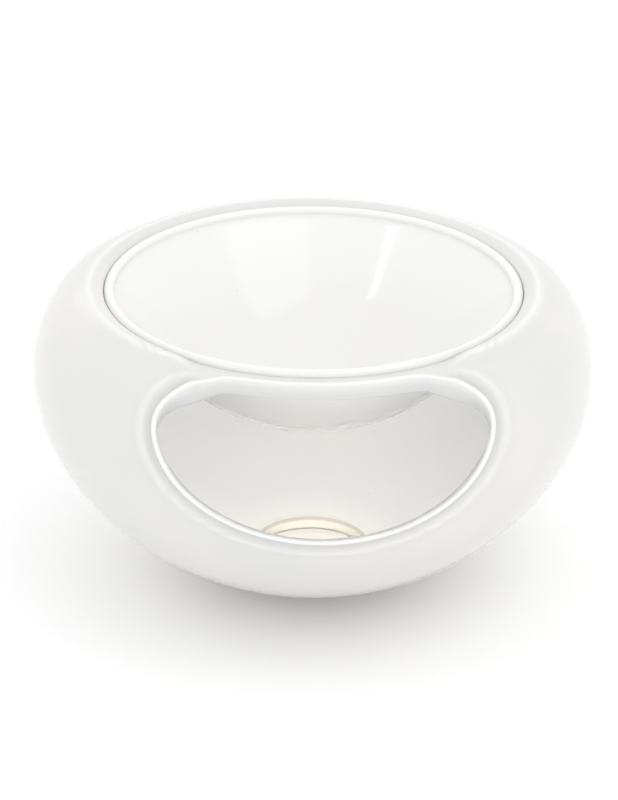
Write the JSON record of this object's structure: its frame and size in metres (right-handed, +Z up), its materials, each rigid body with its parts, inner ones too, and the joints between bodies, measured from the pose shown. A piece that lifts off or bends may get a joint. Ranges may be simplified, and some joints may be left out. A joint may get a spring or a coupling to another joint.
{
  "type": "ceramic oil burner",
  "caption": "Round white glazed ceramic oil burner with a lift-off oil dish, a wide front window into the candle chamber and a hole in its base.",
  "frame": {"origin": "centre of the base hole in the plane of the foot ring's underside; the foot pads stand 1.2 mm below it", "axes": "+Z up along the axis of revolution and along the dish's lift, -Y out through the middle of the window, +X to the right seen from the front"},
  "size_m": [0.165, 0.1614, 0.0925],
  "materials": {
    "shell_glaze": "glossy white glaze",
    "dish_glaze": "glossy white glaze, a shade whiter than the shell",
    "pad_silicone": "frosted silicone"
  },
  "bodies": {
    "burner": {"burner_shell": "shell_glaze", "foot_pad_1": "pad_silicone", "foot_pad_2": "pad_silicone", "foot_pad_3": "pad_silicone", "foot_pad_4": "pad_silicone"},
    "dish": {"oil_dish": "dish_glaze"}
  },
  "joints": [
    {"name": "dish_lift", "type": "slide", "parent": "burner", "child": "dish", "axis": [0, 0, 1], "range_m": [0, 0.0451]}
  ]
}
